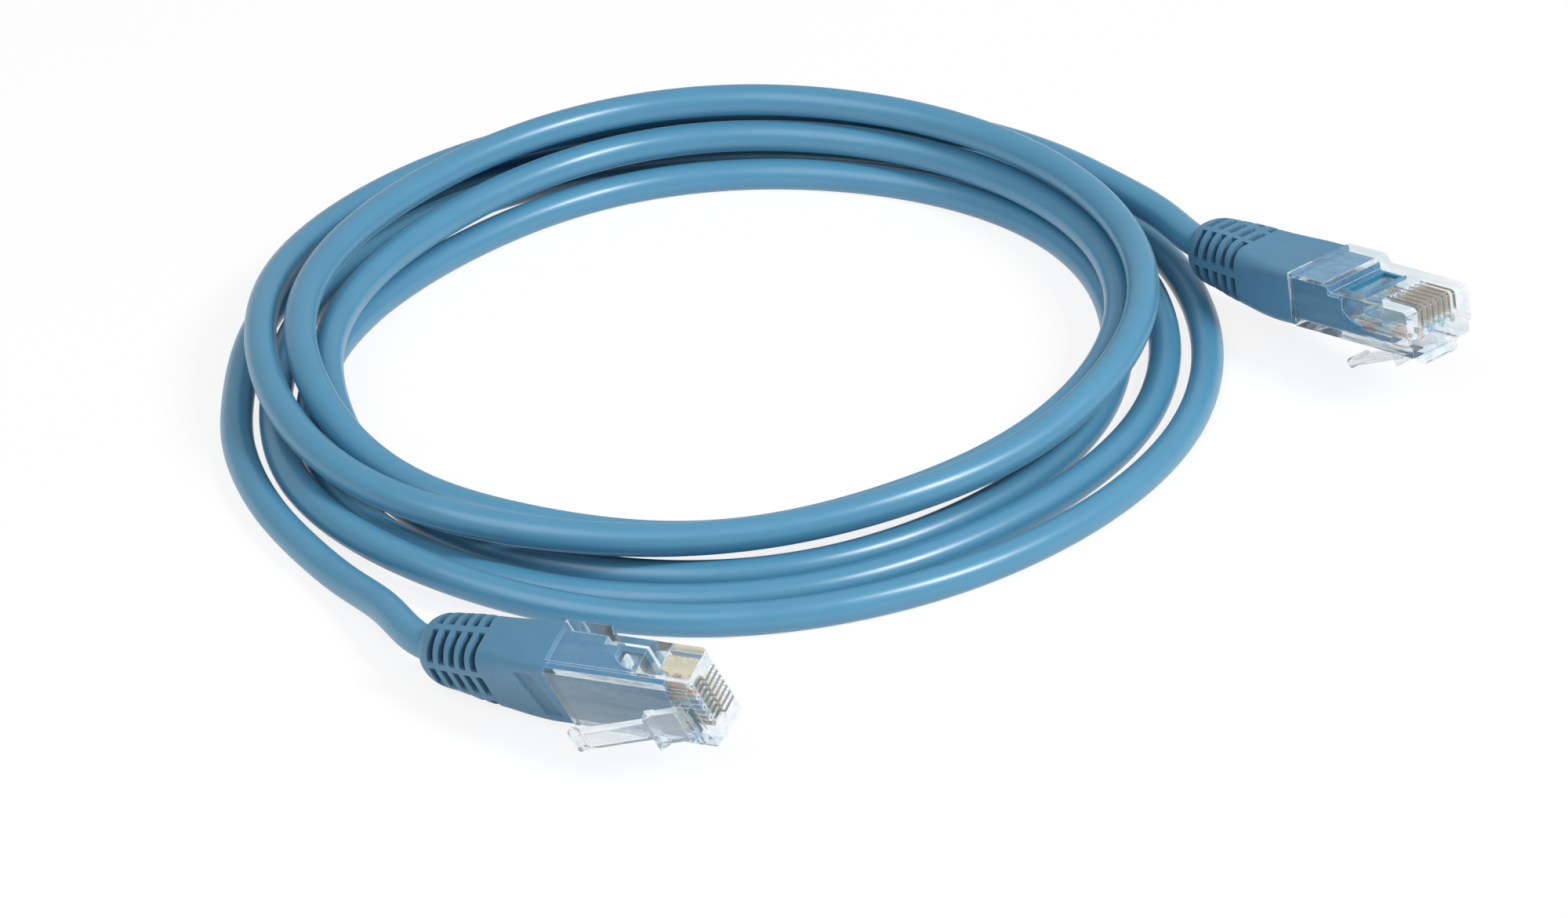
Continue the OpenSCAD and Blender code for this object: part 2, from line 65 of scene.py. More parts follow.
# Scale of a diagonal wave whose bands come back after about two units
BAND_SCALE = 0.32
PLASTIC_IOR = 1.5
PURE_WHITE = (1.0, 1.0, 1.0, 1.0)


# ---- geometry helpers


def smooth(t: Array) -> Array:
    """Ramp 3t^2 - 2t^3, held at 0 before 0 and at 1 after 1."""
    t = np.clip(t, 0.0, 1.0)
    return t * t * (3.0 - 2.0 * t)


def unit(vectors: Array) -> Array:
    """Vectors of length one along the last axis."""
    return vectors / np.linalg.norm(vectors, axis=-1, keepdims=True)


def lengths(line: Array) -> Array:
    """Length of a line from its first point to each of its points."""
    steps = np.linalg.norm(np.diff(line, axis=0), axis=1)
    return np.concatenate([[0.0], np.cumsum(steps)])


def spline(points: Array, step: float) -> Array:
    """Evenly spaced points on the smooth curve through the given ones.

    The curve is the natural cubic spline over the chord length: its second derivatives
    m solve h0 m0 + 2 (h0 + h1) m1 + h1 m2 = 6 (slope1 - slope0) at every inner point.

    Args:
        points: The points that the curve passes through, n by 3.
        step: Distance between neighbouring points of the result.

    Returns:
        Points along the curve, k by 3.
    """
    h = np.linalg.norm(np.diff(points, axis=0), axis=1)
    s = lengths(points)
    n = len(points)
    slope = np.diff(points, axis=0) / h[:, None]
    system = np.eye(n)
    inner = np.arange(1, n - 1)
    system[inner, inner - 1] = h[:-1]
    system[inner, inner] = 2.0 * (h[:-1] + h[1:])
    system[inner, inner + 1] = h[1:]
    right = np.zeros_like(points)
    right[1:-1] = 6.0 * np.diff(slope, axis=0)
    m = np.linalg.solve(system, right)
    fine = np.linspace(0.0, s[-1], SPLINE_POINTS * n)
    k = np.clip(np.searchsorted(s, fine) - 1, 0, n - 2)
    a, b, w = (s[k + 1] - fine)[:, None], (fine - s[k])[:, None], h[k][:, None]
    curve = (
        (m[k] * a**3 + m[k + 1] * b**3) / (6.0 * w)
        + (points[k] / w - m[k] * w / 6.0) * a
        + (points[k + 1] / w - m[k + 1] * w / 6.0) * b
    )
    return evenly(curve, step)


def evenly(curve: Array, step: float) -> Array:
    """The same line with evenly spaced points, by linear interpolation over its length.

    Args:
        curve: Points along the line.
        step: Distance between neighbouring points of the result.

    Returns:
        Points along the line, k by 3.
    """
    s = lengths(curve)
    at = np.linspace(0.0, s[-1], int(round(s[-1] / step)) + 1)
    return np.stack([np.interp(at, s, curve[:, axis]) for axis in range(3)], axis=1)


def eased(curve: Array, reach: int) -> Array:
    """A line with its small kinks evened out by a bell-shaped mean over 2 reach + 1 points.

    Args:
        curve: Evenly spaced points.
        reach: How many neighbours on each side count.

    Returns:
        As many points, with the first and last ones kept.
    """
    bell = np.exp(-0.5 * (np.arange(-reach, reach + 1) / (BELL_WIDTH * reach)) ** 2)
    bell /= bell.sum()
    padded = np.concatenate(
        [2 * curve[:1] - curve[reach:0:-1], curve, 2 * curve[-1:] - curve[-2 : -reach - 2 : -1]]
    )
    return np.stack([np.convolve(padded[:, axis], bell, "valid") for axis in range(3)], axis=1)


def tube(path: Array, radius: float, sides: int) -> Array:
    """A round profile carried along a path: centre + r (cos a * across + sin a * up).

    Args:
        path: Centre line, n by 3.
        radius: Radius of the profile.
        sides: Points round the profile.

    Returns:
        Grid of points, n by sides by 3.
    """
    heading = unit(np.gradient(path, axis=0))
    across = unit(np.cross(heading, [0.0, 0.0, 1.0]))
    up = np.cross(across, heading)
    a = np.linspace(0.0, 2.0 * np.pi, sides, endpoint=False)[None, :, None]
    return path[:, None] + radius * (np.cos(a) * across[:, None] + np.sin(a) * up[:, None])


def placed(name: str, data: bpy.types.ID) -> bpy.types.Object:
    """A new object of the scene, at the origin.

    Args:
        name: Name of the object.
        data: Its mesh, lamp or camera.

    Returns:
        The object.
    """
    holder = bpy.data.objects.new(name, data)
    bpy.context.scene.collection.objects.link(holder)
    return holder


def surface(name: str, grid: Array, ring: bool = False) -> bpy.types.Object:
    """A closed mesh from a grid of points whose columns close on themselves.

    Args:
        name: Name of the piece.
        grid: Points, rows by columns by 3, in metres.
        ring: Whether the rows close on themselves too. Otherwise a flat cap ends each side.

    Returns:
        The new object, smooth and with its faces outwards. Its UV map holds the length along
        the rows in metres and the turn round the columns from 0 to 1.
    """
    rows, columns = grid.shape[:2]
    i = np.arange(rows if ring else rows - 1)[:, None]
    j = np.arange(columns)[None, :]
    corner = [(i, j), (i + 1, j), (i + 1, j + 1), (i, j + 1)]
    quads = np.stack([(a % rows) * columns + b % columns for a, b in corner], -1).reshape(-1, 4)
    along = lengths(grid.mean(1))
    along = np.append(along, 2.0 * along[-1] - along[-2])
    u = np.stack([np.broadcast_to(along[a], (len(i), columns)) for a, _ in corner], -1)
    v = np.stack([np.broadcast_to(b / columns, (len(i), columns)) for _, b in corner], -1)
    uv = np.stack([u, v], -1).reshape(-1, 2)
    points = grid.reshape(-1, 3)
    p = points[quads]
    # Six times the volume within the faces, below nought if they point inwards
    volume = sum(np.einsum("ij,ij->", p[:, 0], np.cross(p[:, k], p[:, k + 1])) for k in (1, 2))
    faces = quads.tolist()
    if not ring:
        faces += [list(range(columns))[::-1], list(range((rows - 1) * columns, rows * columns))]
        uv = np.concatenate([uv, np.zeros((2 * columns, 2))])
    mesh = bpy.data.meshes.new(name)
    mesh.from_pydata(points.tolist(), [], faces)
    mesh.uv_layers.new(name="UVMap").data.foreach_set("uv", uv.astype(np.float32).ravel())
    if volume < 0.0:
        mesh.flip_normals()
    mesh.polygons.foreach_set("use_smooth", np.ones(len(faces), bool))
    mesh.set_sharp_from_angle(angle=SHARP_BEND)
    return placed(name, mesh)


def merged_copy(node: str, name: str) -> bpy.types.Object:
    """A copy of a construction node as one joined mesh with its flat areas whole.

    Args:
        node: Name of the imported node.
        name: Name of the copy.

    Returns:
        The new object at the origin.
    """
    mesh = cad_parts[node].data.copy()
    mesh.name = name
    shape = bmesh.new()
    shape.from_mesh(mesh)
    bmesh.ops.remove_doubles(shape, verts=shape.verts, dist=WELD)
    bmesh.ops.dissolve_limit(shape, angle_limit=FLAT_BEND, verts=shape.verts, edges=shape.edges)
    shape.to_mesh(mesh)
    shape.free()
    return placed(name, mesh)


def dress(piece: bpy.types.Object, *materials: bpy.types.Material) -> None:
    """Gives a piece its materials.

    Args:
        piece: The piece.
        materials: The one for every face, and others for a modifier or for chosen faces.
    """
    piece.data.materials.clear()
    for material in materials:
        piece.data.materials.append(material)


# ---- finishes


def linear(*display: int) -> tuple[float, float, float, float]:
    """A display colour as scene-linear values, by the usual curve of a screen.

    Args:
        display: Red, green and blue from 0 to 255.

    Returns:
        Linear red, green and blue, and full opacity.
    """
    c = np.array(display) / 255.0
    light = np.where(c <= 0.04045, c / 12.92, ((c + 0.055) / 1.055) ** 2.4)
    return (*light.tolist(), 1.0)


@dataclass(frozen=True)
class Grain:
    """Patterns of an opaque finish, each a cloud's size in millimetres and its finer layers.

    The tone breaks up the colour, the polish spreads the roughness over its range, and the
    relief lifts the surface by its depth in millimetres.
    """

    tone: tuple
    polish: tuple
    roughness: tuple
    relief: tuple
    depth: float


def give(socket: Socket, value: object) -> None:
    """Joins an output to an input, or sets a constant on it.

    Args:
        socket: The input.
        value: The output or the constant.
    """
    if isinstance(value, Socket):
        socket.id_data.links.new(value, socket)
    else:
        socket.default_value = value


def add(tree: bpy.types.NodeTree, kind: str, inputs: dict, **settings: object) -> bpy.types.Node:
    """Adds a node.

    Args:
        tree: The tree that gets it.
        kind: Blender's name of its type.
        inputs: An output or a constant for each input, by name or number.
        settings: Properties to set on it.

    Returns:
        The node.
    """
    node = tree.nodes.new(kind)
    for key, value in settings.items():
        setattr(node, key, value)
    for key, value in inputs.items():
        give(node.inputs[key], value)
    return node


class Shader:
    """The node tree of one material, with short ways to add what the finishes share."""

    def __init__(self, name: str) -> None:
        """Starts a material with one Principled node on its output.

        Args:
            name: Name of the material.
        """
        self.material = bpy.data.materials.new(name)
        self.material.use_nodes = True
        self.tree = self.material.node_tree
        self.body = self.tree.nodes["Principled BSDF"]
        self.places = add(self.tree, "ShaderNodeTexCoord", {}).outputs

    def set(self, **values: object) -> None:
        """Sets or joins inputs of the Principled node, by name with _ for a space."""
        for key, value in values.items():
            give(self.body.inputs[key.replace("_", " ")], value)

    def noise(self, size: float, detail: float, place: Socket | None = None) -> Socket:
        """Cloudy values from 0 to 1.

        Args:
            size: Size of one cloud, in millimetres.
            detail: How many finer layers are added.
            place: Coordinates in metres, or None for the piece's own.

        Returns:
            The value's socket.
        """
        place = place or self.places["Object"]
        inputs = {"Vector": place, "Scale": 1.0 / (size * MM), "Detail": detail}
        return add(self.tree, "ShaderNodeTexNoise", inputs).outputs["Fac"]

    def scaled(self, place: Socket, scale: tuple) -> Socket:
        """Coordinates times a scale along each axis."""
        return add(self.tree, "ShaderNodeMapping", {"Vector": place, "Scale": scale}).outputs[0]

    def bands(self, unit_length: float, units_round: float) -> Socket:
        """Waves from 0 to 1 that wind round a tube, by its UV map.

        Args:
            unit_length: Length along the tube of one unit, in millimetres.
            units_round: Units once round the tube.

        Returns:
            The value's socket.
        """
        place = self.scaled(self.places["UV"], (1.0 / (unit_length * MM), units_round, 1.0))
        inputs = {"Vector": place, "Scale": BAND_SCALE}
        wave = add(self.tree, "ShaderNodeTexWave", inputs, bands_direction="DIAGONAL")
        return wave.outputs["Fac"]

    def attribute(self, name: str, output: str = "Fac") -> Socket:
        """What is stored on the piece under a name: a number, or its Vector."""
        return add(self.tree, "ShaderNodeAttribute", {}, attribute_name=name).outputs[output]

    def spread(self, value: Socket, low: float, high: float) -> Socket:
        """Maps the middle of a noise onto a range.

        Args:
            value: The noise.
            low: What the middle's lower end becomes.
            high: What its upper end becomes.

        Returns:
            The value's socket.
        """
        start, end = NOISE_MIDDLE
        inputs = {"Value": value, "From Min": start, "From Max": end, "To Min": low, "To Max": high}
        return add(self.tree, "ShaderNodeMapRange", inputs).outputs["Result"]

    def blend(self, factor: Socket, first: object, second: object) -> Socket:
        """A colour between two others.

        Args:
            factor: 0 for the first, 1 for the second.
            first: A colour or a socket.
            second: A colour or a socket.

        Returns:
            The colour's socket.
        """
        node = add(self.tree, "ShaderNodeMix", {"Factor": factor}, data_type="RGBA")
        for key, value in (("A", first), ("B", second)):
            give(next(s for s in node.inputs if s.name == key and s.type == "RGBA"), value)
        return next(s for s in node.outputs if s.type == "RGBA")

    def relief(self, height: Socket, depth: float, below: Socket | None = None) -> Socket:
        """Bump from a height value.

        Args:
            height: Height from 0 to 1.
            depth: Real depth that 1 stands for, in millimetres.
            below: Normal of a coarser relief under this one.

        Returns:
            The normal's socket.
        """
        inputs = {"Strength": 1.0, "Distance": depth * MM, "Height": height}
        if below is not None:
            inputs["Normal"] = below
        return add(self.tree, "ShaderNodeBump", inputs).outputs["Normal"]

    def skin(self, grain: Grain, colour: Socket, below: Socket | None = None) -> None:
        """Joins a colour, a mottled roughness and a fine relief to the Principled node.

        Args:
            grain: The patterns.
            colour: The colour's socket.
            below: Normal of a coarser relief under the fine one.
        """
        self.set(
            Base_Color=colour,
            Roughness=self.spread(self.noise(*grain.polish), *grain.roughness),
            Normal=self.relief(self.noise(*grain.relief), grain.depth, below),
        )

    def show(self, factor: Socket, other: bpy.types.Node) -> None:
        """Puts a mix of the Principled node and another shader on the output.

        Args:
            factor: 0 for the Principled node, 1 for the other.
            other: The other shader's node.
        """
        inputs = {0: factor, 1: self.body.outputs[0], 2: other.outputs[0]}
        mix = add(self.tree, "ShaderNodeMixShader", inputs)
        give(self.tree.nodes["Material Output"].inputs["Surface"], mix.outputs[0])


def seen_by_eye(tree: bpy.types.NodeTree, gloss: float) -> Socket:
    """1 for rays from the camera and through glass, less for gloss, 0 for light.

    The most of Is Glossy Ray times its share, Is Camera Ray and Is Transmission Ray, less
    Diffuse Depth, so that the clear plastic lets no more light on what is in it than falls
    beside it.

    Args:
        tree: The node tree to add to.
        gloss: Share for what is seen in gloss.

    Returns:
        The value's socket.
    """
    ray = add(tree, "ShaderNodeLightPath", {}).outputs
    value = ray["Is Glossy Ray"]
    steps = (
        ("MULTIPLY", gloss),
        ("MAXIMUM", ray["Is Camera Ray"]),
        ("MAXIMUM", ray["Is Transmission Ray"]),
        ("SUBTRACT", ray["Diffuse Depth"]),
    )
    for operation, other in steps:
        inputs = {0: value, 1: other}
        value = add(tree, "ShaderNodeMath", inputs, operation=operation, use_clamp=True).outputs[0]
    return value


@dataclass(frozen=True)
class JacketFinish:
    """Extruded PVC: satin, with a very faint lay of the pairs under it and a fine grain."""

    colour: tuple = linear(79, 143, 176)
    shade: tuple = linear(72, 134, 168)
    grain: Grain = Grain((9.0, 3.0), (4.0, 2.0), (0.29, 0.34), (1.6, 1.0), 0.004)
    # The lay: length of one unit along the cord and units round it, and its depth
    lay: tuple = (11.0, 4.0)
    lay_depth: float = 0.006
    gloss: float = 0.65

    def material(self) -> bpy.types.Material:
        """Builds the material.

        Returns:
            The material.
        """
        s = Shader("jacket_pvc")
        colour = s.blend(s.noise(*self.grain.tone), self.colour, self.shade)
        s.skin(self.grain, colour, s.relief(s.bands(*self.lay), self.lay_depth))
        s.set(IOR=PLASTIC_IOR, Specular_IOR_Level=self.gloss)
        return s.material


@dataclass(frozen=True)
class BootFinish:
    """Moulded soft PVC: a little greyer and duller than the jacket, with painted shade in its
    grooves and on its sunk panel.
    """

    colour: tuple = linear(85, 136, 166)
    shade: tuple = linear(75, 124, 154)
    # Painted shade: the dark colour that the grooves and the sunk panel are darkened towards
    painted_shade: tuple = linear(40, 66, 92)
    grain: Grain = Grain((4.0, 4.0), (0.4, 4.0), (0.40, 0.54), (0.12, 3.0), 0.006)
    # Coarse waves of the mould, and their depth
    waves: tuple = (1.8, 2.0)
    wave_depth: float = 0.02

    def material(self) -> bpy.types.Material:
        """Builds the material.

        Returns:
            The material.
        """
        s = Shader("boot_pvc")
        skin = s.blend(s.noise(*self.grain.tone), self.colour, self.shade)
        # Painted shade: darker where the stored depth marks a groove or the panel
        colour = s.blend(s.attribute("depth"), skin, self.painted_shade)
        s.skin(self.grain, colour, s.relief(s.noise(*self.waves), self.wave_depth))
        s.set(IOR=PLASTIC_IOR)
        return s.material


@dataclass(frozen=True)
class CoreFinish:
    """Glossy blue moulding inside the clear housing, with faint flow lines."""

    colour: tuple = linear(66, 136, 166)
    shade: tuple = linear(56, 122, 154)
    grain: Grain = Grain((3.0, 4.0), (0.8, 3.0), (0.24, 0.36), (1.2, 3.0), 0.02)
    gloss: float = 0.25

    def material(self) -> bpy.types.Material:
        """Builds the material.

        Returns:
            The material.
        """
        s = Shader("moulded_core")
        s.skin(self.grain, s.blend(s.noise(*self.grain.tone), self.colour, self.shade))
        s.set(Specular_IOR_Level=self.gloss)
        return s.material


@dataclass(frozen=True)
class ClearFinish:
    """Clear polycarbonate with sink waves and flow streaks in relief; the streaks also whiten its
    colour as a painted reflection. It lets lamplight through.
    """

    name: str = "clear_polycarbonate"
    tint: tuple = (0.66, 0.8, 0.88, 1.0)
    # Depth of the sink waves in millimetres, IOR of the body, and share that scatters
    wave: float = 0.012
    bend: float = 1.13
    haze: float = 0.045
    roughness: tuple = (0.015, 0.06)
    # Patterns of the roughness, the sink waves and the streaks
    polish: tuple = (0.9, 3.0)
    sink: tuple = (1.6, 2.0)
    streak: tuple = (1.3, 3.0)
    # Scale of the streaks along the plug, and their depth in sink waves
    drawn: float = 0.1
    streak_depth: float = 3.0
    coat: float = 0.35
    coat_roughness: float = 0.03

    def material(self) -> bpy.types.Material:
        """Builds the material. Its coat carries the gloss, so that its body bends light less.

        Returns:
            The material.
        """
        s = Shader(self.name)
        s.set(Transmission_Weight=1.0 - self.haze, IOR=self.bend)
        s.set(Coat_Weight=self.coat, Coat_IOR=PLASTIC_IOR, Coat_Roughness=self.coat_roughness)
        drawn = s.scaled(s.attribute("plug", "Vector"), (self.drawn, 1.0, 1.0))
        streaks = s.noise(*self.streak, drawn)
        flow = s.relief(streaks, self.streak_depth * self.wave)
        # The streaks whiten the colour: painted reflections of the white surroundings
        s.set(
            Base_Color=s.blend(s.spread(streaks, 0.0, 1.0), self.tint, PURE_WHITE),
            Roughness=s.spread(s.noise(*self.polish), *self.roughness),
            Normal=s.relief(s.noise(*self.sink), self.wave, flow),
        )
        passing = add(s.tree, "ShaderNodeBsdfTransparent", {"Color": self.tint})
        s.show(add(s.tree, "ShaderNodeLightPath", {}).outputs["Is Shadow Ray"], passing)
        return s.material


@dataclass(frozen=True)
class MetalFinish:
    """Plated or drawn metal with a fine broken polish."""

    name: str
    colour: tuple
    shade: tuple
    grain: Grain = Grain((0.5, 4.0), (0.15, 4.0), (0.18, 0.34), (0.08, 2.0), 0.002)

    def material(self) -> bpy.types.Material:
        """Builds the material.

        Returns:
            The material.
        """
        s = Shader(self.name)
        s.skin(self.grain, s.blend(s.noise(*self.grain.tone), self.colour, self.shade))
        s.set(Metallic=1.0)
        return s.material


@dataclass(frozen=True)
class WireFinish:
    """Polyethylene insulation, plain or white with a stripe that winds round the wire."""

    name: str
    colour: tuple
    stripe: tuple | None = None
    # Share of the colour that is left where it is darkest
    dark: float = 0.8
    grain: Grain = Grain((1.5, 2.0), (0.3, 3.0), (0.32, 0.46), (0.2, 2.0), 0.004)
    # The stripe: length of one unit along the wire and units round it, and how sharp it is
    lay: tuple = (3.0, 1.0)
    sharp: tuple = (-1.5, 1.0)

    def material(self) -> bpy.types.Material:
        """Builds the material.

        Returns:
            The material.
        """
        s = Shader(self.name)
        shade = (*[self.dark * c for c in self.colour[:3]], 1.0)
        colour = s.blend(s.noise(*self.grain.tone), self.colour, shade)
        if self.stripe:
            colour = s.blend(s.spread(s.bands(*self.lay), *self.sharp), colour, self.stripe)
        s.skin(self.grain, colour)
        return s.material


@dataclass(frozen=True)
class FloorFinish:
    """Matt white that keeps its shadows, although most of what the eye sees is plain light."""

    colour: tuple = (0.93, 0.93, 0.93, 1.0)
    roughness: float = 0.9
    gloss: float = 0.1
    glow: float = 0.85

    def material(self) -> bpy.types.Material:
        """Builds the material.

        Returns:
            The material.
        """
        s = Shader("floor_white")
        s.set(Base_Color=self.colour, Roughness=self.roughness, Specular_IOR_Level=self.gloss)
        inputs = {0: seen_by_eye(s.tree, 1.0), 1: self.glow}
        share = add(s.tree, "ShaderNodeMath", inputs, operation="MULTIPLY")
        s.show(share.outputs[0], add(s.tree, "ShaderNodeEmission", {"Strength": 1.0}))
        return s.material


class Pair(Enum):
    """The four twisted pairs, with the colour of each."""

    ORANGE = linear(230, 170, 146)
    GREEN = linear(174, 200, 184)
    BLUE = linear(144, 170, 202)
    BROWN = linear(190, 166, 150)


WHITE = linear(240, 236, 228)
# The wire in front of each contact: its pair, and whether it is the white one with a stripe
WIRE_ORDER = [
    (Pair.ORANGE, True),
    (Pair.ORANGE, False),
    (Pair.GREEN, True),
    (Pair.BLUE, False),
    (Pair.BLUE, True),
    (Pair.GREEN, False),
    (Pair.BROWN, True),
    (Pair.BROWN, False),
]


def wire_slot(pair: Pair, striped: bool) -> str:
    """Name of a wire's material slot in the record."""
    return f"wire_{'white_' if striped else ''}{pair.name.lower()}"


class Finishes:
    """Every material of the cable, each made once."""

    def __init__(self) -> None:
        """Builds all the materials."""
        self.jacket = JacketFinish().material()
        self.boot = BootFinish().material()
        self.core = CoreFinish().material()
        self.clear = {
            "housing": ClearFinish().material(),
            "latch": ClearFinish("clear_latch", (0.74, 0.79, 0.82, 1.0), haze=0.16).material(),
        }
        # The rounded edges' material, whiter and hazier: painted highlights along the edges of the
        # clear pieces
        self.painted_edge_highlight = ClearFinish(
            "painted_edge_highlight", (0.95, 0.97, 0.98, 1.0), haze=0.45, roughness=(0.1, 0.25)
        ).material()
        # Walls between the contacts: milky white, a painted sheen on the clear plastic
        self.comb = ClearFinish(
            "clear_comb_painted_sheen", (0.98, 0.985, 0.99, 1.0), bend=1.45, haze=0.12, roughness=(0.03, 0.1)
        ).material()
        self.bar = ClearFinish("clear_bar", (0.94, 0.96, 0.975, 1.0), wave=0.02).material()
        gold = MetalFinish("gold_plate", linear(242, 220, 170), linear(228, 200, 146))
        self.gold = gold.material()
        self.copper = MetalFinish(
            "drawn_copper",
            linear(214, 140, 104),
            linear(188, 112, 80),
            replace(gold.grain, roughness=(0.25, 0.45)),
        ).material()
        self.wires = [
            WireFinish(
                wire_slot(pair, striped),
                WHITE if striped else pair.value,
                pair.value if striped else None,
            ).material()
            for pair, striped in WIRE_ORDER
        ]


# ---- the cord


class End(Enum):
    """The two ends of the cord.

    Each has the place of its plug's nose, as a bearing, the way past the coil's mean radius
    and a height, and the plug's turns about X, Y and Z in degrees.
    """

    A = ((268.5, 40.2, 9.7), (-65.0, -9.5, -33.5))
    B = ((353.2, 37.5, 10.2), (-0.5, -9.0, -48.2))


@dataclass(frozen=True)
class Route:
    """The line of the cord, from inside one boot round the coil to inside the other."""

    middle: tuple = (-16.4, 14.5, 0.0)
    coil_r: float = 57.0
    diameter: float = 4.3
    strand_gap: float = 0.45
    plug_len: float = 42.9
    mouth_z: float = 4.9
    # How far the cord runs on into each boot
    into_boot: float = 5.0
    # Height of a strand's axis on the table, in diameters: it lies a little pressed
    pressed: float = 0.4
    # The coil starts at this bearing, and its places are this far apart, in degrees
    first_bearing: float = 180.0
    place_angle: float = 45.0
    # Points of the coil's axis to each place, step along the whole line, and reach of its ease
    place_points: int = 3
    step: float = 1.2
    ease: int = 3
    # Every eighth of a turn: strand pitches out from the mean radius, and layer
    across: tuple = (
        (1.3, 1.85, 2.3, 2.6, 1.5, 0.6, 0.8, 1.05),
        (0.25, 0.85, 1.25, 1.55, 0.3, -0.75, -0.25, -0.05),
        (-0.8, -1.1, 0.1, 0.5, -1.05, -1.85, -1.45, -1.3),
        (-1.2, -0.9, 0.65, 0.5, -1, -2.65, -2.7, -1.15),
        (-0.5, -0.2, 1, 0.75, -0.3, -1.7, -1.8, 0),
        (0.6, 1.65, 1.95, 1.9),
    )
    layer: tuple = (
        (0, 0, 0, 0, 0, 0, 0, 0.5),
        (0, 0, 0, 0, 0, 0, 0, 0),
        (0, 0, 0, 0, 0, 0, 0, 0),
        (1, 1, 1, 1, 1.2, 0.75, 0.5, 1.1),
        (2, 2, 2, 2, 2, 1.3, 1, 1.4),
        (1.6, 1, 1, 1.4),
    )
    # Free stretches: bearing, way past the mean radius, height over a resting strand
    lead_a: tuple = (
        (234.6, 15.2, 1.8),
        (227.1, 11.7, 0.5),
        (218.6, 9.6, 0.0),
        (208.9, 8.4, 0.0),
        (199.1, 7.5, 0.0),
        (190.9, 6.9, 0.0),
    )
    lead_b: tuple = ((33.9, 9.3, 6.7), (26.0, 10.3, 6.5))

    @property
    def rest(self) -> float:
        """Height of a strand's axis where it lies on the table."""
        return self.pressed * self.diameter

    def past_coil(self, places: Array) -> Array:
        """Points from places beside the coil.

        Args:
            places: Bearing in degrees, way past the mean radius, and height.

        Returns:
            Points from the coil's middle.
        """
        a = np.radians(places[..., 0])
        r = self.coil_r + places[..., 1]
        return np.stack([r * np.cos(a), r * np.sin(a), places[..., 2]], -1)

    def turn(self, end: End) -> Array:
        """The plug's rotation, about X, then Y, then Z.

        Args:
            end: The end of the cord.

        Returns:
            The rotation, 3 by 3.
        """
        x, y, z = np.radians(end.value[1])
        about_x = [[1, 0, 0], [0, np.cos(x), -np.sin(x)], [0, np.sin(x), np.cos(x)]]
        about_y = [[np.cos(y), 0, np.sin(y)], [0, 1, 0], [-np.sin(y), 0, np.cos(y)]]
        about_z = [[np.cos(z), -np.sin(z), 0], [np.sin(z), np.cos(z), 0], [0, 0, 1]]
        return np.array(about_z) @ np.array(about_y) @ np.array(about_x)

    def nose(self, end: End) -> Array:
        """The middle of a plug's nose, as a point of the model in millimetres."""
        return self.past_coil(np.array(end.value[0])) + self.middle

    def on_plug(self, end: End, points: Array) -> Array:
        """Points of a plug's own frame, X to its nose, as points of the model, in metres."""
        return (points @ self.turn(end).T + self.nose(end)) * MM

    def off_plug(self, end: End, points: Array) -> Array:
        """Points of the model, in metres, as points of a plug's own frame, in metres too."""
        return (points - self.nose(end) * MM) @ self.turn(end)

    def wound(self) -> Array:
        """The coil's axis.

        The radius is the mean radius plus the pitch times a Catmull-Rom curve through
        the places across, and the height climbs between layers by the smooth ramp.

        Returns:
            Points from the coil's middle.
        """
        across = np.concatenate([np.array(row, float) for row in self.across])
        layer = np.concatenate([np.array(row, float) for row in self.layer])
        last = len(across) - 1
        u = np.arange(self.place_points * last + 1) / self.place_points
        i = np.minimum(u.astype(int), last - 1)
        t = u - i
        a, b, c, d = (across[np.clip(i + k, 0, last)] for k in (-1, 0, 1, 2))
        place = b + 0.5 * t * (c - a + t * (2 * a - 5 * b + 4 * c - d + t * (3 * (b - c) + d - a)))
        level = layer[i] + (layer[i + 1] - layer[i]) * smooth(t)
        pitch = self.diameter + self.strand_gap
        bearing = self.first_bearing - self.place_angle * u
        return self.past_coil(np.stack([bearing, pitch * place, self.rest + pitch * level], -1))

    def line(self) -> Array:
        """The axis of the whole cord.

        Returns:
            Evenly spaced points, in metres.
        """
        mouth = (-self.plug_len, 0, self.mouth_z)
        inside = (-self.plug_len + self.into_boot, 0, self.mouth_z)
        lift = np.array([0.0, 0.0, self.rest])
        lead_a = self.past_coil(np.array(self.lead_a)) + lift
        lead_b = self.past_coil(np.array(self.lead_b)) + lift
        path = np.concatenate([lead_a, self.wound(), lead_b])
        path = np.concatenate(
            [
                self.on_plug(End.A, np.array([inside, mouth])),
                (path + self.middle) * MM,
                self.on_plug(End.B, np.array([mouth, inside])),
            ]
        )
        return eased(spline(path, self.step * MM), self.ease)


@dataclass
class Cord:
    """The jacket: one round tube along the whole route, flattened where it lies."""

    route: Route
    sides: int = 28
    # Metres along the axis, from mouth to mouth of the boots
    length: float = 2.048

    def build(self, finishes: Finishes) -> bpy.types.Object:
        """Builds the jacket and dresses it.

        Args:
            finishes: The materials.

        Returns:
            The cord.
        """
        grid = tube(self.route.line(), 0.5 * self.route.diameter * MM, self.sides)
        grid[..., 2] = np.maximum(grid[..., 2], 0.0)
        cord = surface("cord_jacket", grid)
        dress(cord, finishes.jacket)
        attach(cord, "cord")
        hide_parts("cable_lead_a", "cable_coil", "cable_lead_b")
        return cord

    def declare(self) -> None:
        """Works out the mouth of plug A's boot and the cord's line, and keeps neither.
        """
        self.route.on_plug(End.A, np.array([-self.route.plug_len, 0, self.route.mouth_z]))
        self.route.line()


# ---- the plugs


